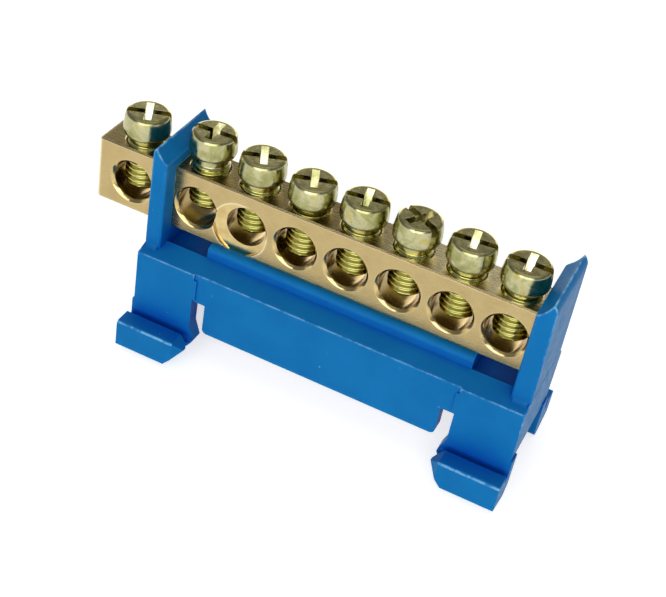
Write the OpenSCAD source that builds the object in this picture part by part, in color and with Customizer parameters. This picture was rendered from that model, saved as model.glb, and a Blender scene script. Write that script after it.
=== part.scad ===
// Neutral terminal bar: a cross-drilled brass bar with clamp screws, held in a moulded rail clip carrier.
// Frame: +X along the bar to the right, +Y to the back, +Z up, in millimetres.
// The origin is the middle of the rail seat, under the carrier's skirt.

/* [Rail clip] */
// Width of the mounting rail across its two edges
rail_w = 35; // [33:0.5:36]
// Gap between a rail edge and the leg beside it
rail_play = 0.7; // [0.4:0.1:1]
// How far a hook reaches in past its leg's inner edge
hook_reach = 0.8; // [0.6:0.1:1.4]
// Height above the rail seat at which the hook's catch begins
catch_top = 0.35; // [0.2:0.05:0.6]
// Height of the hook's slanted catch, down to its nose
catch_h = 2.15; // [1.8:0.05:2.5]
// How far the lead-in below the nose runs back outward
lead_in = 3; // [2:0.1:3.5]
// How far the legs reach below the rail seat
leg_drop = 5.2; // [4.6:0.1:6]
// How far a leg's front face stands out in front of the skirt's front face
leg_proud = 0.2; // [0.1:0.05:0.4]
// How far a leg's foot stands out past the end wall above it
foot_out = 0.25; // [0.1:0.05:0.4]
// Height above the rail seat at which the foot steps out
foot_top = 1; // [0.6:0.1:2.4]
// Bevel on a leg's inner lower edge
leg_bevel = 1; // [0.5:0.1:1.2]
// Width of the slot between the skirt and a leg
slot_w = 1.8; // [1.2:0.1:2.4]
// Height of that slot above the rail seat
slot_h = 4.4; // [3:0.1:5.2]
// Radius of the skirt's lower corners
skirt_r = 0.7; // [0.3:0.1:1.2]

/* [Toes] */
// How far a toe stands out from its leg
toe_reach = 3.6; // [2.8:0.1:4.5]
// Depth of the toe's crest below the rail seat
crest_drop = 0.5; // [0.2:0.1:1]
// Radius of the toe's front crest
crest_r = 0.5; // [0.2:0.1:0.7]
// How far the toe's front edge lifts off the ground
toe_lift = 0.9; // [0.5:0.1:1.3]
// Width of the groove between a toe and its leg
groove_w = 1.1; // [0.8:0.1:1.4]
// Depth of that groove below the toe's crest
groove_h = 1.3; // [0.9:0.1:1.6]
// How far the toe's top stays out past its leg's inner edge
toe_inset = 0.5; // [0.2:0.1:0.8]
// Bevel on the front corner of the toe's nose
toe_bevel = 1.3; // [0.8:0.1:1.5]
// Depth of the notch between the toe's nose and its leg's hook
toe_notch = 0.7; // [0.4:0.1:0.9]

/* [Base] */
// Depth of the base from front face to back face
base_d = 13.8; // [13:0.1:16]
// Wall thickness of the hollow base, skirt and legs
wall = 1.9; // [1.4:0.1:2.2]
// Height of the deck above the rail seat
deck_z = 9.6; // [9:0.1:12]
// Thickness of the deck
deck_t = 2.2; // [2:0.1:2.6]
// Downward tilt of the ledge in degrees
ledge_tilt = 17.5; // [8:0.5:20]
// Height of the end walls' lower edge above the rail seat
end_wall_z = 0.8; // [0:0.1:3]
// Height of the platform that the bar rests on, above the deck
platform_h = 1.6; // [1:0.1:2.5]
// How far the platform stands out past the bar at the front and back
platform_margin = 1.05; // [0.6:0.05:1.4]
// Radius of the platform's long upper edges
platform_r = 0.7; // [0.3:0.1:0.9]
// Depth of the pockets in the deck between platform and end plates
pocket_h = 1.1; // [0.4:0.1:1.1]

/* [End plates] */
// Mean thickness of the two end plates
plate_t = 2.45; // [2.2:0.05:3]
// Depth of an end plate in front of the bar's middle plane, and behind it
plate_front = 5.6; // [4.8:0.1:6]
plate_back = 6.2; // [4.8:0.1:6.4]
// How far a plate's outer face leans in towards its top
plate_lean = 0.25; // [0.1:0.05:0.4]
// Height above the bar at which a plate's outer edge begins to round over
round_rise = 2.4; // [2:0.1:3]
// Radius of a plate's rounded outer top edge
round_r = 1.75; // [1.4:0.05:2]
// Height above the bar at which the hollow top begins at a plate's inner face
hollow_rise = 1.5; // [1:0.1:2]
// Radius of the hollow top that clears the screw heads
hollow_r = 4.8; // [4:0.1:6]
// Distance of the hollow's centre from a plate's inner face
hollow_out = 2.8; // [2.2:0.1:3.4]
// Radius of the plates' upright edges
plate_edge_r = 0.4; // [0.2:0.1:0.6]
// Radius of the fillet between a plate's foot and the ledge
root_r = 0.8; // [0.4:0.1:1]
// Depth of the bar's seat in the right plate
seat_depth = 1.2; // [0.8:0.1:1.5]
// Clearance of the bar in its window and seat
bar_fit = 0.1; // [0.05:0.05:0.2]

/* [Bar] */
// Number of terminals between the end plates
inner_terminals = 7; // [6:1:12]
// Distance between neighbouring terminals
pitch = 6.95; // [6.75:0.05:8]
// Shift of the terminal row from the carrier's middle, which the end plates' inner faces share
row_shift = -0.2; // [-0.25:0.05:0.15]
// Depth of the bar
bar_d = 6; // [5.5:0.1:7]
// Height of the bar
bar_h = 9; // [8:0.1:11]
// Chamfer along the bar's long edges
bar_chamfer = 0.2; // [0.1:0.05:0.3]
// Length of the bar left of the outermost terminal
bar_end = 4.8; // [4:0.1:7]
// Diameter of a wire hole
wire_d = 5.4; // [5:0.1:5.8]
// Height of the wire holes' axis above the bar's underside
wire_z = 4.2; // [3.6:0.1:4.6]
// Width of the chamfer at a wire hole's mouth
mouth_chamfer = 0.35; // [0.2:0.05:0.5]
// Terminal whose wire hole has a stray off-centre countersink
stray_terminal = 3; // [1:1:7]
// Diameter of the stray countersink
stray_d = 7.4; // [6.6:0.1:7.8]
// How far the stray countersink sits to the left of and below its hole
stray_shift = 0.7; // [0.3:0.1:1]
// Depth of the stray countersink
stray_h = 0.35; // [0.1:0.05:0.5]

/* [Clamp screws] */
// Outer diameter of the screw thread
thread_d = 4.8; // [4.4:0.1:4.9]
// Diameter of the plain neck between the thread and the head
neck_d = 4.3; // [3.8:0.1:4.4]
// Length of that neck
neck_l = 0.8; // [0.5:0.1:1.2]
// Clearance of the thread in its tapped hole
thread_fit = 0.1; // [0.05:0.05:0.2]
// Width of the countersink round a tapped hole
tap_chamfer = 0.15; // [0.1:0.05:0.2]
// Height of the lowest screw's thread above the place where it would meet its wire hole's wall
tip_gap = 0.15; // [0.1:0.05:0.5]
// Chamfer at the screw's tip
tip_chamfer = 0.7; // [0.4:0.1:1]
// Diameter of the screw head
head_d = 6.1; // [5.6:0.1:6.4]
// Height of the screw head
head_h = 3.3; // [2.8:0.1:3.8]
// Radius of the head's rounded underside
head_under_r = 1; // [0.8:0.1:1.8]
// Radius of the head's upper edge
head_edge_r = 0.5; // [0.2:0.05:0.7]
// Width of the slot and of the cross recess
drive_w = 0.95; // [0.7:0.05:1.2]
// Depth of the slot
slot_depth = 0.9; // [0.5:0.1:1.2]
// Depth of the cross recess
cross_depth = 1.8; // [1.2:0.1:2]
// Length of the cross recess at the head's top
cross_l = 4.2; // [3.4:0.1:4.8]
// Length of the cross recess at its floor
cross_floor_l = 1.7; // [1.2:0.1:2.4]
// Gap between the end plates' inner faces and the screw heads beside them
head_gap = 0.1; // [0.1:0.05:0.6]
// Gap between the outermost screw head and the left plate's outer face
outer_gap = 0.7; // [0.4:0.05:1.5]

/* [Hidden] */
$fn = 64;
carrier_blue = [0.09, 0.40, 0.68];
brass = [0.80, 0.68, 0.42];
yellow_zinc = [0.66, 0.63, 0.42];

// How far each screw stands open, and the turn of its slot, from left to right
head_raise = [0.9, 1.8, 1.1, 0.6, 0.9, 1.1, 0.9, 0.8];
slot_turn = [25, 4, 25, 22, 11, -30, 8, 3];

// How far joined shapes run into each other, and how far a cut runs past a face
bite = 0.4;
past = 1;

terminals = inner_terminals + 1;
inner_half = (inner_terminals - 1) / 2 * pitch;
first_inner_x = row_shift - inner_half;
plate_in = inner_half + head_d / 2 + head_gap;
right_in = plate_in + row_shift;
left_in = plate_in - row_shift;
half_l = plate_in + plate_t;
foot_half = half_l + foot_out;
first_x = row_shift - half_l - outer_gap - head_d / 2;

leg_in = rail_w / 2 + rail_play;
nose_x = leg_in - hook_reach;
nose_z = catch_top - catch_h;
skirt_half = leg_in - slot_w;
front_y = base_d / 2;
leg_front_y = front_y + leg_proud;
platform_half_d = bar_d / 2 + platform_margin;
roof_z = deck_z - deck_t;
wall_top_z = roof_z + bite;
bar_z = deck_z + platform_h;
bar_top = bar_z + bar_h;
plate_top = bar_top + round_rise + round_r;

tap_d = thread_d + 2 * thread_fit;
thread_rise = sqrt(max(0, wire_d * wire_d - thread_d * thread_d)) / 2;
shank_l = bar_h - wire_z + thread_rise + min(head_raise) - tip_gap + tip_chamfer;
bar_left = first_x - bar_end;
bar_right = right_in + seat_depth - bar_fit;

// Place of a terminal along the bar, the outermost one first
function terminal_x(i) = i == 1 ? first_x : first_inner_x + (i - 2) * pitch;

// Height of the tilted ledge at a distance from the middle plane
function ledge_z(y) = deck_z - tan(ledge_tilt) * (y - platform_half_d);

// Extrudes a drawing of Y and Z along X
module along_x(x0, x1) {
    translate([x0, 0, 0])
        rotate([90, 0, 90])
            linear_extrude(x1 - x0)
                children();
}

// Extrudes a drawing of X and Z along Y
module along_y(y0, y1) {
    translate([0, y1, 0])
        rotate([90, 0, 0])
            linear_extrude(y1 - y0)
                children();
}

// Repeats a shape with its mirror image across the middle plane that an axis is normal to
module both_sides(axis) {
    children();
    mirror(axis) children();
}

// What a round of radius r takes off a corner at the origin, for a body to its lower left
module corner_cut(r) {
    difference() {
        translate([-r, -r]) square(r + past);
        translate([-r, -r]) circle(r);
    }
}

// Section of the deck: flat in the middle, with a ledge that falls towards the front and back
module deck_section(half_d) {
    polygon([
        [-half_d, roof_z], [half_d, roof_z], [half_d, ledge_z(half_d)], [platform_half_d, deck_z],
        [-platform_half_d, deck_z], [-half_d, ledge_z(half_d)],
    ]);
}

// Front view of the skirt between the legs, with the slots that free them
module skirt_outline() {
    difference() {
        translate([-leg_in, 0]) square([2 * leg_in, wall_top_z]);
        both_sides([1, 0]) {
            translate([skirt_half, -past]) square([slot_w + past, slot_h + past]);
            translate([skirt_half, 0]) mirror([0, 1]) corner_cut(skirt_r);
        }
    }
}

// Front view of the right leg: slanted catch, nose and lead-in
module leg_outline() {
    polygon([
        [leg_in, catch_top], [nose_x, nose_z], [nose_x + lead_in, -leg_drop], [foot_half, -leg_drop],
        [foot_half, foot_top], [half_l, foot_top], [half_l, wall_top_z], [leg_in - bite, wall_top_z],
        [leg_in - bite, slot_h + bite], [leg_in, slot_h + bite],
    ]);
}

// Front view of the right toe, whose catch is flatter than its leg's
module toe_outline() {
    toe_in = leg_in + toe_inset;
    polygon([
        [toe_in, past], [toe_in, -crest_drop], [nose_x, nose_z], [nose_x + lead_in, -leg_drop],
        [foot_half, -leg_drop], [foot_half, past],
    ]);
}

// Side view of a toe, with its reach to the left of the leg's face at zero
module toe_section() {
    groove_r = groove_w / 2;
    groove_z = groove_r - crest_drop - groove_h;
    difference() {
        polygon([
            [bite, -leg_drop], [0, -leg_drop], [-toe_reach, toe_lift - leg_drop], [-toe_reach, -crest_drop],
            [bite, -crest_drop],
        ]);
        translate([-toe_reach, -crest_drop]) mirror([1, 0]) corner_cut(crest_r);
        translate([-groove_r, groove_z]) circle(groove_r);
        translate([-groove_w, groove_z]) square([groove_w, groove_h]);
    }
}

// Upright cut into the right toe's inner end, a square set on edge in plan
module nose_cut(out, depth) {
    translate([nose_x, -leg_front_y - out, 0])
        rotate(45)
            cube([sqrt(2) * depth, sqrt(2) * depth, 2 * leg_drop + past], center = true);
}

// The right front leg with its hook and toe
module leg() {
    difference() {
        along_y(-leg_front_y, wall - leg_front_y) leg_outline();
        along_x(0, foot_half + past)
            translate([wall - leg_front_y, -leg_drop])
                rotate(45)
                    square(sqrt(2) * leg_bevel, center = true);
    }
    difference() {
        intersection() {
            along_x(0, foot_half) translate([-leg_front_y, 0]) toe_section();
            along_y(-leg_front_y - toe_reach - past, bite - leg_front_y) toe_outline();
        }
        nose_cut(toe_reach, toe_bevel);
        nose_cut(groove_w, toe_notch);
    }
}

// Front view of a right end plate: leaning outside, round outer top edge and hollow inner top
module plate_outline(inner_x) {
    lean_x = half_l - plate_lean;
    round_z = bar_top + round_rise;
    hollow_z = bar_top + hollow_rise + sqrt(hollow_r * hollow_r - hollow_out * hollow_out);
    difference() {
        union() {
            polygon([[inner_x, wall_top_z], [half_l, wall_top_z], [lean_x, round_z], [inner_x, round_z]]);
            intersection() {
                translate([lean_x - round_r, round_z]) circle(round_r);
                translate([inner_x, round_z - bite]) square([half_l - inner_x, round_r + 2 * bite]);
            }
        }
        translate([inner_x - hollow_out, hollow_z]) circle(hollow_r, $fn = 128);
    }
}

// A right end plate with its round upright edges and the fillets at its foot
module end_plate(inner_x) {
    intersection() {
        along_y(-plate_front, plate_back) plate_outline(inner_x);
        linear_extrude(plate_top + past)
            difference() {
                translate([inner_x, -plate_front]) square([half_l - inner_x, plate_front + plate_back]);
                translate([half_l, plate_back]) corner_cut(plate_edge_r);
                translate([inner_x, plate_back]) mirror([1, 0]) corner_cut(plate_edge_r);
                translate([half_l, -plate_front]) mirror([0, 1]) corner_cut(plate_edge_r);
                translate([inner_x, -plate_front]) rotate(180) corner_cut(plate_edge_r);
            }
    }
    along_x(inner_x + plate_edge_r, half_l - plate_edge_r) {
        plate_root(plate_front);
        mirror([1, 0]) plate_root(plate_back);
    }
}

// Fillet between the tilted ledge and a plate's face at a distance from the middle plane
module plate_root(face_y) {
    centre_y = face_y + root_r;
    centre_z = ledge_z(centre_y) + root_r / cos(ledge_tilt);
    low_y = centre_y - root_r * sin(ledge_tilt);
    low_z = ledge_z(low_y) - bite;
    difference() {
        translate([-low_y, low_z]) square([low_y - face_y + bite, centre_z - low_z]);
        translate([-centre_y, centre_z]) circle(root_r);
    }
}

// Raised seat under the bar, with round long edges
module platform() {
    low_z = deck_z - bite;
    along_x(-leg_in, leg_in)
        difference() {
            translate([-platform_half_d, low_z]) square([2 * platform_half_d, bar_z - low_z]);
            both_sides([1, 0]) translate([platform_half_d, bar_z]) corner_cut(platform_r);
        }
}

// Sunk part of the deck between the platform and a right end plate
module pocket(inner_x) {
    translate([leg_in, -platform_half_d, deck_z - pocket_h])
        cube([inner_x - leg_in, 2 * platform_half_d, pocket_h + past]);
}

// Passage for the bar through a plate, from one place along X to another
module bar_window(x0, x1) {
    translate([x0, -bar_d / 2 - bar_fit, bar_z])
        cube([x1 - x0, bar_d + 2 * bar_fit, bar_h + bar_fit]);
}

module carrier() {
    color(carrier_blue)
        difference() {
            union() {
                difference() {
                    along_x(-half_l, half_l) deck_section(leg_front_y);
                    pocket(right_in);
                    mirror([1, 0, 0]) pocket(left_in);
                    both_sides([0, 1, 0])
                        translate([-leg_in, front_y, 0])
                            cube([2 * leg_in, leg_proud + past, deck_z]);
                }
                platform();
                both_sides([0, 1, 0]) {
                    along_y(-front_y, wall - front_y) skirt_outline();
                    both_sides([1, 0, 0]) leg();
                }
                end_plate(right_in);
                mirror([1, 0, 0]) end_plate(left_in);
                both_sides([1, 0, 0])
                    translate([half_l - wall, -leg_front_y, end_wall_z])
                        cube([wall, 2 * leg_front_y, wall_top_z - end_wall_z]);
            }
            bar_window(-half_l - past, past - left_in);
            bar_window(right_in - past, right_in + seat_depth);
        }
}

// Wire hole across the bar at a terminal, with a chamfer at both mouths
module wire_hole() {
    rotate([90, 0, 0]) cylinder(h = bar_d + 2 * past, d = wire_d, center = true);
    both_sides([0, 1, 0])
        translate([0, -bar_d / 2, 0])
            rotate([-90, 0, 0])
                cylinder(h = mouth_chamfer, d1 = wire_d + 2 * mouth_chamfer, d2 = wire_d);
}

// Tapped hole from the bar's top down into the wire hole
module tapped_hole() {
    top = bar_h - wire_z;
    cylinder(h = top + past, d = tap_d);
    translate([0, 0, top - tap_chamfer])
        cylinder(h = tap_chamfer, d1 = tap_d, d2 = tap_d + 2 * tap_chamfer);
}

// Shallow countersink that was cut off the centre of one wire hole
module stray_countersink() {
    translate([-stray_shift, -bar_d / 2 - past, -stray_shift])
        rotate([-90, 0, 0])
            cylinder(h = past + stray_h, d = stray_d);
}

module terminal_bar() {
    half_d = bar_d / 2;
    c = bar_chamfer;
    color(brass)
        difference() {
            along_x(bar_left, bar_right)
                translate([0, bar_z])
                    polygon([
                        [c - half_d, 0], [half_d - c, 0], [half_d, c], [half_d, bar_h - c],
                        [half_d - c, bar_h], [c - half_d, bar_h], [-half_d, bar_h - c], [-half_d, c],
                    ]);
            for (i = [1 : terminals])
                translate([terminal_x(i), 0, bar_z + wire_z]) {
                    wire_hole();
                    tapped_hole();
                    if (i == stray_terminal) stray_countersink();
                }
        }
}

// Half section of a screw: thread with a chamfered tip, plain neck, and a head with a rounded underside
module screw_section() {
    thread_r = thread_d / 2;
    neck_r = neck_d / 2;
    head_r = head_d / 2;
    polygon([
        [0, -shank_l], [thread_r - tip_chamfer, -shank_l], [thread_r, tip_chamfer - shank_l],
        [thread_r, neck_r - thread_r - neck_l], [neck_r, -neck_l], [neck_r, head_under_r], [0, head_under_r],
    ]);
    square([head_r - head_under_r, head_h]);
    translate([0, head_under_r]) square([head_r, head_h - head_under_r - head_edge_r]);
    translate([0, head_under_r]) square([head_r - head_edge_r, head_h - head_under_r]);
    intersection() {
        translate([head_r - head_under_r, head_under_r]) circle(head_under_r);
        square(head_d);
    }
    translate([head_r - head_edge_r, head_h - head_edge_r]) circle(head_edge_r);
}

// One wing of the cross recess, narrowing downward
module cross_wing() {
    along_y(-drive_w / 2, drive_w / 2)
        polygon([
            [-cross_floor_l / 2, head_h - cross_depth], [cross_floor_l / 2, head_h - cross_depth],
            [cross_l / 2, head_h], [cross_l / 2, head_h + past], [-cross_l / 2, head_h + past],
            [-cross_l / 2, head_h],
        ]);
}

module clamp_screw(i) {
    state = (i - 1) % len(head_raise);
    color(yellow_zinc)
        translate([terminal_x(i), 0, bar_top + head_raise[state]])
            rotate(slot_turn[state])
                difference() {
                    rotate_extrude() screw_section();
                    translate([-head_d, -drive_w / 2, head_h - slot_depth])
                        cube([2 * head_d, drive_w, slot_depth + past]);
                    cross_wing();
                    rotate(90) cross_wing();
                }
}

carrier();
terminal_bar();
for (i = [1 : terminals])
    clamp_screw(i);
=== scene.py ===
"""Looks of a neutral terminal bar: blue moulded carrier, brass bar and yellow passivated clamp screws."""

import math

import bmesh
import bpy
from mathutils import Matrix, Vector


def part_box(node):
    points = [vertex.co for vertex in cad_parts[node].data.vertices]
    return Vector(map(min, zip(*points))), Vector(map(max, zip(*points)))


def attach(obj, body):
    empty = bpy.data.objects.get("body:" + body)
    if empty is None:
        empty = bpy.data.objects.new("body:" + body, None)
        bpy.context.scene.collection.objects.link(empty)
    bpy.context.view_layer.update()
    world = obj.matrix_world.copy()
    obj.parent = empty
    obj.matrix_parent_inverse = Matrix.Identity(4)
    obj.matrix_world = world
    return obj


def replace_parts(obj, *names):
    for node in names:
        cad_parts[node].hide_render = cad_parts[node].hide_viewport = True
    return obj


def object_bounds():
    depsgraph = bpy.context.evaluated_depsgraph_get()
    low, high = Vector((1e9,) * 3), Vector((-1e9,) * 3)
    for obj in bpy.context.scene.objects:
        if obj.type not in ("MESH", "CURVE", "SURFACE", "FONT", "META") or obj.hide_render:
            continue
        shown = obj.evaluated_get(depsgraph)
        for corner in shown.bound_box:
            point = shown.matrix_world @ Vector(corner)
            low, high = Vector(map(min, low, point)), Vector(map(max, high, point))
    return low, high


# Sizes and places are in millimetres in the part's frame, angles in degrees and colours in linear light
MM = 0.001

# The photograph's camera, worked out from the known straight edges of the part
VIEW_TARGET = Vector((-2.04, 0.0, 8.04))
VIEW_DISTANCE = 173.7
VIEW_AZIMUTH = 18.5
VIEW_ELEVATION = 38.0
VIEW_ROLL = 11.07
VIEW_LENS = 74.31
SENSOR_WIDTH = 36.0
CLIP_START = 10.0

# Soft lights that face the origin, each with its width and height
KEY_PLACE = Vector((91.0, -494.0, 224.0))
KEY_SIZE = (620.0, 490.0)
KEY_WATTS = 2.5
BACK_PLACE = Vector((-150.0, 500.0, 140.0))
BACK_SIZE = (600.0, 250.0)
BACK_WATTS = 0.8

# The room's grey by the sine of the height looked at, and the table
ROOM_LEVELS = ((0.10, 0.95), (0.32, 0.22), (0.75, 0.22), (0.95, 0.60))
FLOOR_HALF = 1500.0
FLOOR_GREY = 0.85
FLOOR_GLOW = 0.6

# Clamp screws, as in the part's source
SCREWS = range(1, 9)
SLOT_TURNS = (25, 4, 25, 22, 11, -30, 8, 3)
HEAD_RADIUS = 3.05
HEAD_HEIGHT = 3.3
HEAD_UNDER_RADIUS = 1.0
HEAD_EDGE_RADIUS = 0.5
DRIVE_WIDTH = 0.95
SLOT_DEPTH = 0.9
CROSS_DEPTH = 1.8
CROSS_LENGTH = 4.2
CROSS_FLOOR_LENGTH = 1.7
NECK_RADIUS = 2.15
NECK_LENGTH = 0.8
THREAD_RADIUS = 2.4
TIP_CHAMFER = 0.7

# What the source leaves plain: how far a head's side draws in towards its rim, and the rolled thread
HEAD_BARREL = 0.20
THREAD_DEPTH = 0.42
THREAD_PITCH = 0.8

# Fineness of the screws' meshes
HEAD_SIDES = 128
UNDER_STEPS = 12
SIDE_STEPS = 5
RIM_STEPS = 6
SHANK_SIDES = 64
RINGS_PER_PITCH = 16

# Height of the wire holes, and how far from their axes and below the bar's faces the drill has cut
WIRE_HEIGHT = 15.4
CUT_REACH = 4.0
CUT_DEPTH = 0.05

# Widths of the rounded edges, and the angles past which an edge is rounded or keeps crisp shading
CARRIER_ROUNDING = 0.09
BAR_ROUNDING = 0.06
HEAD_ROUNDING = 0.10
ROUNDED_ANGLE = 28.0
HEAD_ROUNDED_ANGLE = 40.0
CRISP_ANGLE = 50.0

# The angle within which faces are one flat face, and the distances within which points are one
FLAT_ANGLE = 0.2
NODE_WELD = 0.0005
HEAD_WELD = 0.001

# Where the carrier's edges are whitened: the ledge's front, the right end, the plates and the toes
LEDGE_FRONT = -6.4
LEDGE_RISE = (8.0, 8.4)
END_FACE = 26.3
END_RISE = (5.5, 6.0)
PLATE_RISE = (15.0, 17.0)
TOE_FRONT = -9.0

# Where the metals change: along the bar's top, into its holes, above the shanks and in the heads' recesses
# Along the bar's top: where the darker left gives way to the painted pale reflection on the right
TOP_FADE = (-4.0, 15.0)
# Into the holes: painted shade where the distance from the bar's middle is less than these
BORE_FADE = (2.2, 2.6)
SHANK_FADE = (20.7, 21.3)
# Heights above which the painted glint shows in the heads' recesses
RECESS_RISE = (22.2, 22.5)

# How closely the shaders look for nearby surfaces, and how softly a slope's limits fade
OPENNESS_SAMPLES = 6
SLOPE_FADE = 0.1

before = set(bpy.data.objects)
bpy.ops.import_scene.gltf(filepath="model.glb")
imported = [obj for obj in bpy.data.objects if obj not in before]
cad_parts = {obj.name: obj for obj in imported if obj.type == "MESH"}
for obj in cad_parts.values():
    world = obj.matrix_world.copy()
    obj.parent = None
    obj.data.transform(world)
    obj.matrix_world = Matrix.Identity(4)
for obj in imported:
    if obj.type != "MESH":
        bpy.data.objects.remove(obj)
cad_low, cad_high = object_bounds()


def color(red, green, blue):
    return red, green, blue, 1.0


def grey(level):
    return color(level, level, level)


def fill_ramp(node, stops):
    """Gives a colour ramp node its stops, each a position and a colour."""
    elements = node.color_ramp.elements
    while len(elements) < len(stops):
        elements.new(0.5)
    for element, (position, tint) in zip(elements, stops):
        element.position = position
        element.color = tint


class Shader:
    """One material's nodes round its Principled shader, with coordinates in millimetres on the object."""

    def __init__(self, name):
        self.material = bpy.data.materials.new(name)
        self.material.use_nodes = True
        self.tree = self.material.node_tree
        self.surface = self.tree.nodes["Principled BSDF"]
        scale = self.add("ShaderNodeVectorMath", operation="SCALE")
        self.link(self.add("ShaderNodeTexCoord").outputs["Object"], scale.inputs[0])
        scale.inputs["Scale"].default_value = 1 / MM
        self.place = scale.outputs[0]

    def add(self, kind, **settings):
        node = self.tree.nodes.new(kind)
        for key, value in settings.items():
            setattr(node, key, value)
        return node

    def link(self, source, target):
        self.tree.links.new(source, target)

    def feed(self, value, target):
        """Links a node's output to a socket, or sets the socket to a fixed value."""
        if isinstance(value, bpy.types.NodeSocket):
            self.link(value, target)
        else:
            target.default_value = value

    def split(self, vector):
        node = self.add("ShaderNodeSeparateXYZ")
        self.link(vector, node.inputs[0])
        return node.outputs["X"], node.outputs["Y"], node.outputs["Z"]

    def axes(self):
        """X, Y and Z of the place on the object."""
        return self.split(self.place)

    def facing(self):
        """How far the surface faces along X, Y and Z, with the sign taken off."""
        absolute = self.add("ShaderNodeVectorMath", operation="ABSOLUTE")
        self.link(self.add("ShaderNodeNewGeometry").outputs["True Normal"], absolute.inputs[0])
        return self.split(absolute.outputs[0])

    def sloping(self, low, high):
        """1 on slopes that face up by more than the low share and less than the high one."""
        upward = self.facing()[2]
        rise = self.between(upward, low, low + SLOPE_FADE)
        return self.product(rise, self.between(upward, high - SLOPE_FADE, high, 1.0, 0.0))

    def openness(self, reach, inside=False):
        """1 in the open, and less where something stands within reach; looking inside, less near edges."""
        node = self.add(
            "ShaderNodeAmbientOcclusion", samples=OPENNESS_SAMPLES, inside=inside, only_local=True,
        )
        node.inputs["Distance"].default_value = reach * MM
        return node.outputs["AO"]

    def seen_directly(self):
        """1 for rays from the camera or off a mirror-like surface, and 0 for those that carry light on."""
        path = self.add("ShaderNodeLightPath")
        names = ("Is Camera Ray", "Is Glossy Ray", "Is Transmission Ray")
        return self.largest(*[path.outputs[name] for name in names])

    def stretched(self, stretch):
        node = self.add("ShaderNodeVectorMath", operation="MULTIPLY")
        self.link(self.place, node.inputs[0])
        node.inputs[1].default_value = stretch
        return node.outputs[0]

    def noise(self, per_mm, detail, stretch=None, roughness=0.5, distortion=0.0):
        """Noise from 0 to 1, with about so many bumps per millimetre, or more along a stretched axis."""
        node = self.add("ShaderNodeTexNoise")
        self.link(self.stretched(stretch) if stretch else self.place, node.inputs["Vector"])
        node.inputs["Scale"].default_value = per_mm
        node.inputs["Detail"].default_value = detail
        node.inputs["Roughness"].default_value = roughness
        node.inputs["Distortion"].default_value = distortion
        return node.outputs["Fac"]

    def between(self, value, low, high, start=0.0, end=1.0):
        """Runs smoothly from start to end as the value goes from low to high."""
        node = self.add("ShaderNodeMapRange", interpolation_type="SMOOTHSTEP")
        self.link(value, node.inputs["Value"])
        node.inputs["From Min"].default_value = low
        node.inputs["From Max"].default_value = high
        node.inputs["To Min"].default_value = start
        node.inputs["To Max"].default_value = end
        return node.outputs["Result"]

    def compute(self, operation, first, second=0.0):
        node = self.add("ShaderNodeMath", operation=operation)
        self.feed(first, node.inputs[0])
        self.feed(second, node.inputs[1])
        return node.outputs[0]

    def product(self, first, *others):
        for other in others:
            first = self.compute("MULTIPLY", first, other)
        return first

    def largest(self, first, *others):
        for other in others:
            first = self.compute("MAXIMUM", first, other)
        return first

    def mix(self, factor, first, second):
        """The first colour where the factor is 0, and the second where it is 1."""
        node = self.add("ShaderNodeMix", data_type="RGBA")
        self.feed(factor, node.inputs["Factor"])
        self.feed(first, node.inputs["A"])
        self.feed(second, node.inputs["B"])
        return node.outputs["Result"]

    def ramp(self, factor, *stops):
        node = self.add("ShaderNodeValToRGB")
        self.link(factor, node.inputs["Fac"])
        fill_ramp(node, stops)
        return node.outputs["Color"]

    def bump(self, height, depth):
        """Bump whose full height is depth millimetres."""
        node = self.add("ShaderNodeBump")
        self.link(height, node.inputs["Height"])
        node.inputs["Distance"].default_value = depth * MM
        return node.outputs["Normal"]

    def finish(self, **sockets):
        """Sets the Principled shader's sockets by name, with underscores for spaces."""
        for key, value in sockets.items():
            self.feed(value, self.surface.inputs[key.replace("_", " ")])
        return self.material


def carrier_plastic():
    """Blue moulded nylon: a painted shade of deeper blue in its corners and hollows, whitened in places on
    its upper edges and toe crests.
    """
    painted_corner_shade_blue = color(0.001, 0.058, 0.390)
    whitened = color(0.24, 0.50, 0.74)
    dusty = color(0.10, 0.30, 0.55)
    shader = Shader("carrier_plastic")
    along, across, height = shader.axes()
    tint = shader.ramp(
        shader.noise(0.16, 3.0),
        (0.30, color(0.004, 0.145, 0.390)),
        (0.70, color(0.006, 0.170, 0.435)),
    )
    # Painted shade: the blue turns deeper where other surfaces stand within 8 mm, in corners, pockets and
    # above the toes.
    corners = shader.between(shader.openness(8.0), 0.45, 0.98, 1.0, 0.0)
    tint = shader.mix(corners, tint, painted_corner_shade_blue)
    in_front = shader.compute("LESS_THAN", across, LEDGE_FRONT)
    at_end = shader.compute("GREATER_THAN", along, END_FACE)
    places = shader.largest(
        shader.product(in_front, shader.between(height, *LEDGE_RISE)),
        shader.product(at_end, shader.between(height, *END_RISE)),
        shader.between(height, *PLATE_RISE),
    )
    edges = shader.product(shader.between(shader.openness(0.3, inside=True), 0.60, 0.90, 1.0, 0.0), places)
    crests = shader.product(
        shader.sloping(0.35, 0.90),
        shader.compute("LESS_THAN", across, TOE_FRONT),
        shader.between(shader.facing()[0], 0.1, 0.2, 0.8, 0.0),
    )
    patches = shader.between(shader.noise(0.8, 5.0, roughness=0.7), 0.38, 0.60, 0.1, 1.0)
    tint = shader.mix(shader.product(patches, shader.largest(edges, crests)), tint, whitened)
    tint = shader.mix(shader.between(shader.noise(1.7, 1.0), 0.79, 0.81), tint, dusty)
    return shader.finish(
        Base_Color=tint,
        Roughness=shader.between(shader.noise(0.9, 4.0), 0.3, 0.7, 0.36, 0.48),
        Specular_IOR_Level=0.05,
        Subsurface_Weight=0.5,
        Subsurface_Radius=(0.2, 0.5, 1.0),
        Subsurface_Scale=1.5 * MM,
        Normal=shader.bump(shader.noise(7.0, 2.0), 0.005),
    )


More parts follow.
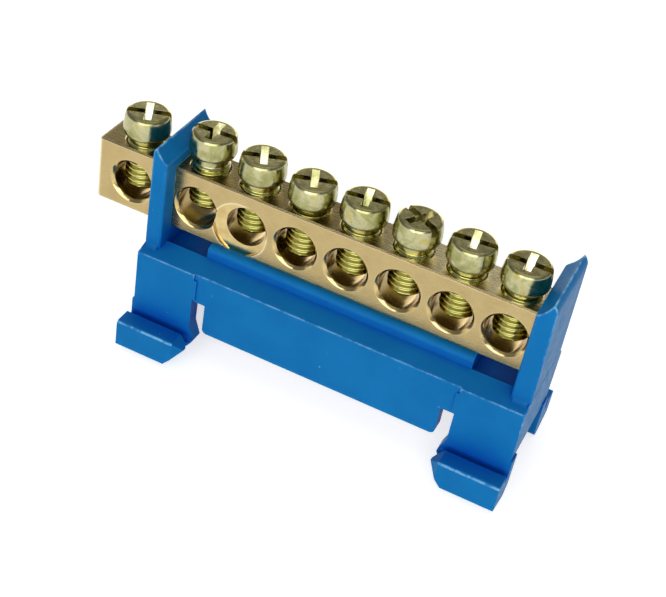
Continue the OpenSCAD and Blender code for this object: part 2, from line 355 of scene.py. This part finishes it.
def bar_brass():
    """Drawn brass: matte, with streaks along the bar and small dark pits; its top runs from darker on the
    left to a painted pale reflection on the right, and its edges carry a painted highlight.
    """
    pitted = color(0.30, 0.20, 0.08)
    top_left_dark_brass = color(0.27, 0.20, 0.065)
    painted_top_reflection = color(0.95, 0.82, 0.46)
    painted_edge_highlight = color(0.92, 0.80, 0.52)
    shader = Shader("bar_brass")
    streaks = shader.noise(1.0, 4.0, stretch=(0.35, 9.0, 9.0), roughness=0.6)
    pits = shader.noise(5.0, 3.0, roughness=0.6)
    tint = shader.ramp(
        shader.noise(0.35, 4.0, roughness=0.6),
        (0.25, color(0.44, 0.330, 0.142)),
        (0.75, color(0.53, 0.408, 0.195)),
    )
    tint = shader.mix(shader.between(pits, 0.62, 0.75, 0.0, 0.45), tint, pitted)
    # Painted reflection on the faces that look up: darker brass on the left, paler towards the right end.
    top_dark_to_painted_reflection = shader.mix(shader.between(shader.axes()[0], *TOP_FADE), top_left_dark_brass, painted_top_reflection)
    tint = shader.mix(shader.between(shader.facing()[2], 0.8, 0.95, 0.0, 0.8), tint, top_dark_to_painted_reflection)
    # Painted highlight: paler brass within 0.4 mm of the bar's edges.
    edges = shader.between(shader.openness(0.4, inside=True), 0.60, 0.90, 0.85, 0.0)
    tint = shader.mix(edges, tint, painted_edge_highlight)
    return shader.finish(
        Base_Color=tint,
        Metallic=1.0,
        Roughness=shader.between(streaks, 0.3, 0.7, 0.20, 0.30),
        Normal=shader.bump(shader.compute("ADD", streaks, pits), 0.010),
    )


def bore_brass():
    """Brass freshly cut by the drill: polished, with fine rings round the hole, and a painted shade that
    darkens it deeper inside.
    """
    painted_bore_shade = color(0.27, 0.18, 0.06)
    shader = Shader("bore_brass")
    rings = shader.noise(1.0, 3.0, stretch=(0.4, 7.0, 0.4), roughness=0.6)
    tint = shader.ramp(
        shader.noise(0.7, 3.0),
        (0.30, color(0.54, 0.39, 0.15)),
        (0.70, color(0.68, 0.54, 0.26)),
    )
    from_middle = shader.compute("ABSOLUTE", shader.axes()[1])
    # Painted shade: darker brass towards the middle of the bar's depth, inside the holes.
    tint = shader.mix(shader.between(from_middle, *BORE_FADE, 0.7, 0.0), tint, painted_bore_shade)
    return shader.finish(
        Base_Color=tint,
        Metallic=1.0,
        Roughness=shader.between(rings, 0.3, 0.7, 0.10, 0.20),
        Normal=shader.bump(rings, 0.008),
    )


def screw_zinc():
    """Yellow passivated zinc on steel: olive to gold, with painted reflections that lighten the tops and
    pale the cross recesses, pits and a grain.
    """
    shank_gold = color(0.48, 0.47, 0.13)
    painted_top_reflection = color(0.58, 0.50, 0.20)
    pale = color(0.84, 0.80, 0.64)
    pitted = color(0.15, 0.15, 0.06)
    shader = Shader("screw_zinc")
    height = shader.axes()[2]
    tint = shader.ramp(
        shader.noise(0.45, 4.0, roughness=0.6, distortion=0.6),
        (0.30, color(0.24, 0.25, 0.09)),
        (0.45, color(0.36, 0.35, 0.15)),
        (0.56, color(0.48, 0.46, 0.27)),
        (0.68, color(0.46, 0.38, 0.10)),
    )
    tint = shader.mix(shader.between(height, *SHANK_FADE, 0.65, 0.0), tint, shank_gold)
    # Painted reflection: faces that look up are lighter.
    tint = shader.mix(shader.between(shader.facing()[2], 0.85, 0.97, 0.0, 0.6), tint, painted_top_reflection)
    # Painted glint: on some heads, the sloping walls of the cross recess are pale, as a mirrored bright
    # light.
    painted_recess_glints = shader.product(
        shader.between(shader.openness(1.2), 0.55, 0.85, 0.85, 0.0),
        shader.between(height, *RECESS_RISE),
        shader.sloping(0.40, 0.75),
        shader.between(shader.noise(0.12, 1.0), 0.44, 0.56),
    )
    tint = shader.mix(painted_recess_glints, tint, pale)
    pits = shader.between(shader.noise(4.5, 3.0, roughness=0.65), 0.60, 0.72, 0.0, 0.6)
    tint = shader.mix(pits, tint, pitted)
    grain = shader.noise(1.0, 4.0, stretch=(6.0, 6.0, 1.5), roughness=0.65)
    return shader.finish(
        Base_Color=tint,
        Metallic=1.0,
        Roughness=shader.between(shader.noise(1.3, 3.0), 0.3, 0.7, 0.13, 0.26),
        Normal=shader.bump(grain, 0.012),
    )


def new_piece(name, mesh, materials):
    piece = bpy.data.objects.new(name, mesh)
    for material in materials:
        mesh.materials.append(material)
    bpy.context.scene.collection.objects.link(piece)
    return piece


def shade(piece):
    """Shades a piece smooth, with its sharpest edges left crisp and its flat faces left flat."""
    for face in piece.data.polygons:
        face.use_smooth = True
    piece.data.set_sharp_from_angle(angle=math.radians(CRISP_ANGLE))
    weighted = piece.modifiers.new("weighted", "WEIGHTED_NORMAL")
    weighted.keep_sharp = True
    weighted.weight = 100


def merge_flat(work, weld):
    """Joins a bmesh's doubled points, and the triangles of each flat face."""
    bmesh.ops.remove_doubles(work, verts=work.verts, dist=weld * MM)
    limit = math.radians(FLAT_ANGLE)
    bmesh.ops.dissolve_limit(work, angle_limit=limit, verts=work.verts, edges=work.edges)


def round_edges(work, angle, width):
    """Rounds every edge of a bmesh that is sharper than the angle."""
    limit = math.radians(angle)
    sharp = [e for e in work.edges if len(e.link_faces) == 2 and e.calc_face_angle() > limit]
    bmesh.ops.bevel(
        work, geom=sharp, offset=width * MM, offset_type="OFFSET", segments=2, profile=0.5,
        affect="EDGES", clamp_overlap=True,
    )


def mark_bores(work):
    """Gives what was cut at the wire holes the second material: walls, mouths and the stray countersink."""
    boxes = [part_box(f"clamp_screw_{number}") for number in SCREWS]
    axes = [(low.x + high.x) / 2 for low, high in boxes]
    face_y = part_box("terminal_bar")[1].y - CUT_DEPTH * MM
    for face in work.faces:
        spot = face.calc_center_median()
        near = min(math.hypot(spot.x - x, spot.z - WIRE_HEIGHT * MM) for x in axes)
        if near < CUT_REACH * MM and abs(spot.y) < face_y:
            face.material_index = 1


def rounded_copy(node, name, materials, width, mark=None):
    """A copy of a CAD node with its flat faces joined up and its sharp edges rounded."""
    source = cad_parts[node].data
    mesh = bpy.data.meshes.new(name)
    mesh.from_pydata([v.co for v in source.vertices], [], [p.vertices[:] for p in source.polygons])
    work = bmesh.new()
    work.from_mesh(mesh)
    merge_flat(work, NODE_WELD)
    if mark:
        mark(work)
    round_edges(work, ROUNDED_ANGLE, width)
    work.to_mesh(mesh)
    work.free()
    piece = new_piece(name, mesh, materials)
    shade(piece)
    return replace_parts(piece, node)


def arc(centre, radius, start, end, steps):
    """Points along an arc, from a start angle to an end angle."""
    turns = [math.radians(start + (end - start) * k / steps) for k in range(steps + 1)]
    return [(centre[0] + radius * math.cos(a), centre[1] + radius * math.sin(a)) for a in turns]


def add_ring(work, radii, height):
    """Adds a level ring of points round Z to a bmesh, with a radius for each point."""
    ring = []
    for k, radius in enumerate(radii):
        turn = 2 * math.pi * k / len(radii)
        ring.append(work.verts.new(Vector((radius * math.cos(turn), radius * math.sin(turn), height)) * MM))
    return ring


def close_rings(work, rings):
    """Skins a stack of rings in a bmesh and closes its two ends."""
    for low, high in zip(rings, rings[1:]):
        for k in range(len(low)):
            j = (k + 1) % len(low)
            work.faces.new((low[k], low[j], high[j], high[k]))
    work.faces.new(list(reversed(rings[0])))
    work.faces.new(rings[-1])


def revolved(work, profile):
    """Adds a closed solid of revolution to a bmesh from a profile of radius and height."""
    close_rings(work, [add_ring(work, [radius] * HEAD_SIDES, height) for radius, height in profile])


def prism(work, outline, half_depth, turn=0.0):
    """Adds a prism to a bmesh: an outline of X and Z that runs along Y, turned about Z."""
    spin = Matrix.Rotation(math.radians(turn), 3, "Z")
    caps = []
    for y in (-half_depth, half_depth):
        caps.append([work.verts.new(spin @ Vector((x, y, z)) * MM) for x, z in outline])
    front, back = caps
    work.faces.new(front)
    work.faces.new(list(reversed(back)))
    for k in range(len(outline)):
        j = (k + 1) % len(outline)
        work.faces.new((front[j], front[k], back[k], back[j]))


def solid_object(name, build, *settings):
    """A scratch object whose mesh a function builds, with its faces turned outward."""
    mesh = bpy.data.meshes.new(name)
    work = bmesh.new()
    build(work, *settings)
    bmesh.ops.recalc_face_normals(work, faces=work.faces)
    work.to_mesh(mesh)
    work.free()
    scratch = bpy.data.objects.new(name, mesh)
    bpy.context.scene.collection.objects.link(scratch)
    return scratch


def head_profile():
    """Half section of a head: a rounded underside, a side that draws in a little, and a rounded rim."""
    rim_start = 10.0
    rim_height = HEAD_HEIGHT - HEAD_EDGE_RADIUS
    rim_centre = (HEAD_RADIUS - HEAD_BARREL - HEAD_EDGE_RADIUS, rim_height)
    under_centre = (HEAD_RADIUS - HEAD_UNDER_RADIUS, HEAD_UNDER_RADIUS)
    neck_angle = math.degrees(math.acos((NECK_RADIUS - under_centre[0]) / HEAD_UNDER_RADIUS))
    side = []
    for k in range(1, SIDE_STEPS):
        share = k / SIDE_STEPS
        height = HEAD_UNDER_RADIUS + (rim_height - HEAD_UNDER_RADIUS) * share
        side.append((HEAD_RADIUS - HEAD_BARREL * share ** 2, height))
    underside = arc(under_centre, HEAD_UNDER_RADIUS, -neck_angle, 0.0, UNDER_STEPS)
    return underside + side + arc(rim_centre, HEAD_EDGE_RADIUS, rim_start, 90.0, RIM_STEPS)


def cut_head():
    """Mesh of one screw head with its slot and cross recess, standing on its underside at the origin."""
    past = 1.0
    top = HEAD_HEIGHT + past
    reach = HEAD_RADIUS + past
    slot_floor = HEAD_HEIGHT - SLOT_DEPTH
    cross_floor = HEAD_HEIGHT - CROSS_DEPTH
    half, foot = CROSS_LENGTH / 2, CROSS_FLOOR_LENGTH / 2
    slot = [(-reach, slot_floor), (reach, slot_floor), (reach, top), (-reach, top)]
    wing = [
        (-foot, cross_floor), (foot, cross_floor), (half, HEAD_HEIGHT),
        (half, top), (-half, top), (-half, HEAD_HEIGHT),
    ]
    head = solid_object("head_blank", revolved, head_profile())
    cutters = [
        solid_object("slot_cutter", prism, slot, DRIVE_WIDTH / 2),
        solid_object("wing_cutter", prism, wing, DRIVE_WIDTH / 2),
        solid_object("cross_cutter", prism, wing, DRIVE_WIDTH / 2, 90.0),
    ]
    for cutter in cutters:
        modifier = head.modifiers.new(cutter.name, "BOOLEAN")
        modifier.operation = "DIFFERENCE"
        modifier.solver = "EXACT"
        modifier.object = cutter
    graph = bpy.context.evaluated_depsgraph_get()
    mesh = bpy.data.meshes.new_from_object(head.evaluated_get(graph))
    for scratch in [head] + cutters:
        bpy.data.objects.remove(scratch)
    return mesh


def thread_height(phase):
    """Height of the rolled thread, from 0 at its root to 1 at its crest, at a place within one pitch."""
    crest, root = 0.08, 0.40
    away = abs((phase + 0.5) % 1.0 - 0.5)
    share = min(1.0, max(0.0, (root - away) / (root - crest)))
    return share * share * (3 - 2 * share)


def threaded_shank(work, length):
    """Adds a shank to a bmesh: a right-hand thread with a chamfered tip that runs out below a plain neck."""
    bottom, top = -length, HEAD_UNDER_RADIUS / 2
    shoulder = NECK_RADIUS - THREAD_RADIUS - NECK_LENGTH
    steps = round((top - bottom) / THREAD_PITCH * RINGS_PER_PITCH)
    rings = []
    for i in range(steps + 1):
        height = bottom + (top - bottom) * i / steps
        tip = THREAD_RADIUS - TIP_CHAMFER + height - bottom
        crest = max(NECK_RADIUS, min(THREAD_RADIUS, tip, THREAD_RADIUS + shoulder - height))
        limit = min(tip, crest)
        runout = min(1.0, max(0.0, (shoulder - height) / (THREAD_PITCH / 2)))
        radii = []
        for k in range(SHANK_SIDES):
            relief = 1 - thread_height(height / THREAD_PITCH - k / SHANK_SIDES)
            radii.append(min(limit, THREAD_RADIUS - THREAD_DEPTH * runout * relief))
        rings.append(add_ring(work, radii, height))
    close_rings(work, rings)


def screw_mesh(length):
    """Mesh of one clamp screw: a head with rounded edges and a threaded shank of a length."""
    mesh = cut_head()
    mesh.name = "clamp_screw"
    work = bmesh.new()
    work.from_mesh(mesh)
    merge_flat(work, HEAD_WELD)
    round_edges(work, HEAD_ROUNDED_ANGLE, HEAD_ROUNDING)
    threaded_shank(work, length)
    work.to_mesh(mesh)
    work.free()
    return mesh


def clamp_screws(material):
    """Puts a threaded screw in the place of each plain one, turned as in the photograph."""
    first_low, first_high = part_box("clamp_screw_1")
    pattern = screw_mesh((first_high.z - first_low.z) / MM - HEAD_HEIGHT)
    for number, slot_turn in zip(SCREWS, SLOT_TURNS):
        node = f"clamp_screw_{number}"
        low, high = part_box(node)
        place = Vector(((low.x + high.x) / 2, (low.y + high.y) / 2, high.z - HEAD_HEIGHT * MM))
        mesh = pattern.copy()
        mesh.transform(Matrix.Translation(place) @ Matrix.Rotation(math.radians(slot_turn), 4, "Z"))
        screw = new_piece(f"threaded_screw_{number}", mesh, [material])
        shade(screw)
        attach(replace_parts(screw, node), node)


def looking(place, direction):
    """The matrix of a camera or lamp that stands at a place and looks along a direction."""
    return Matrix.Translation(place * MM) @ direction.to_track_quat("-Z", "Y").to_matrix().to_4x4()


def camera():
    """The scene's camera, where the photograph's stood."""
    azimuth, elevation = math.radians(VIEW_AZIMUTH), math.radians(VIEW_ELEVATION)
    level = math.cos(elevation)
    out = Vector((math.sin(azimuth) * level, -math.cos(azimuth) * level, math.sin(elevation)))
    data = bpy.data.cameras.new("photo_camera")
    data.lens = VIEW_LENS
    data.sensor_fit = "HORIZONTAL"
    data.sensor_width = SENSOR_WIDTH
    data.clip_start = CLIP_START * MM
    eye = bpy.data.objects.new("photo_camera", data)
    roll = Matrix.Rotation(math.radians(VIEW_ROLL), 4, "Z")
    eye.matrix_world = looking(VIEW_TARGET + out * VIEW_DISTANCE, -out) @ roll
    bpy.context.scene.collection.objects.link(eye)
    bpy.context.scene.camera = eye


def softbox(name, place, size, watts):
    """A soft rectangular light that faces the origin."""
    data = bpy.data.lights.new(name, "AREA")
    data.shape = "RECTANGLE"
    data.size = size[0] * MM
    data.size_y = size[1] * MM
    data.energy = watts
    lamp = bpy.data.objects.new(name, data)
    lamp.matrix_world = looking(place, -place)
    bpy.context.scene.collection.objects.link(lamp)


def floor():
    """A plain white table under the feet. It looks white, takes the shadow and adds no light of its own."""
    half, z = FLOOR_HALF * MM, cad_low.z
    mesh = bpy.data.meshes.new("floor")
    corners = [(-half, -half, z), (half, -half, z), (half, half, z), (-half, half, z)]
    mesh.from_pydata(corners, [], [(0, 1, 2, 3)])
    shader = Shader("floor")
    material = shader.finish(
        Base_Color=grey(FLOOR_GREY),
        Roughness=1.0,
        Specular_IOR_Level=0.0,
        Emission_Color=grey(1.0),
        Emission_Strength=shader.product(shader.seen_directly(), FLOOR_GLOW),
    )
    new_piece("floor", mesh, [material])


def studio():
    """A wide soft light low in front, a weak one behind, and a grey room, pale at its rim and overhead."""
    softbox("key", KEY_PLACE, KEY_SIZE, KEY_WATTS)
    softbox("back", BACK_PLACE, BACK_SIZE, BACK_WATTS)
    world = bpy.data.worlds.new("room")
    world.use_nodes = True
    nodes, links = world.node_tree.nodes, world.node_tree.links
    direction = nodes.new("ShaderNodeSeparateXYZ")
    links.new(nodes.new("ShaderNodeTexCoord").outputs["Generated"], direction.inputs[0])
    levels = nodes.new("ShaderNodeValToRGB")
    fill_ramp(levels, [(height, grey(level)) for height, level in ROOM_LEVELS])
    links.new(direction.outputs["Z"], levels.inputs["Fac"])
    links.new(levels.outputs["Color"], nodes["Background"].inputs["Color"])
    bpy.context.scene.world = world


camera()
floor()
studio()

carrier = rounded_copy("carrier", "moulded_carrier", [carrier_plastic()], CARRIER_ROUNDING)
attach(carrier, "carrier")

bar = rounded_copy("terminal_bar", "drilled_bar", [bar_brass(), bore_brass()], BAR_ROUNDING, mark=mark_bores)
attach(bar, "carrier")

clamp_screws(screw_zinc())

bpy.context.scene.view_settings.view_transform = "Standard"
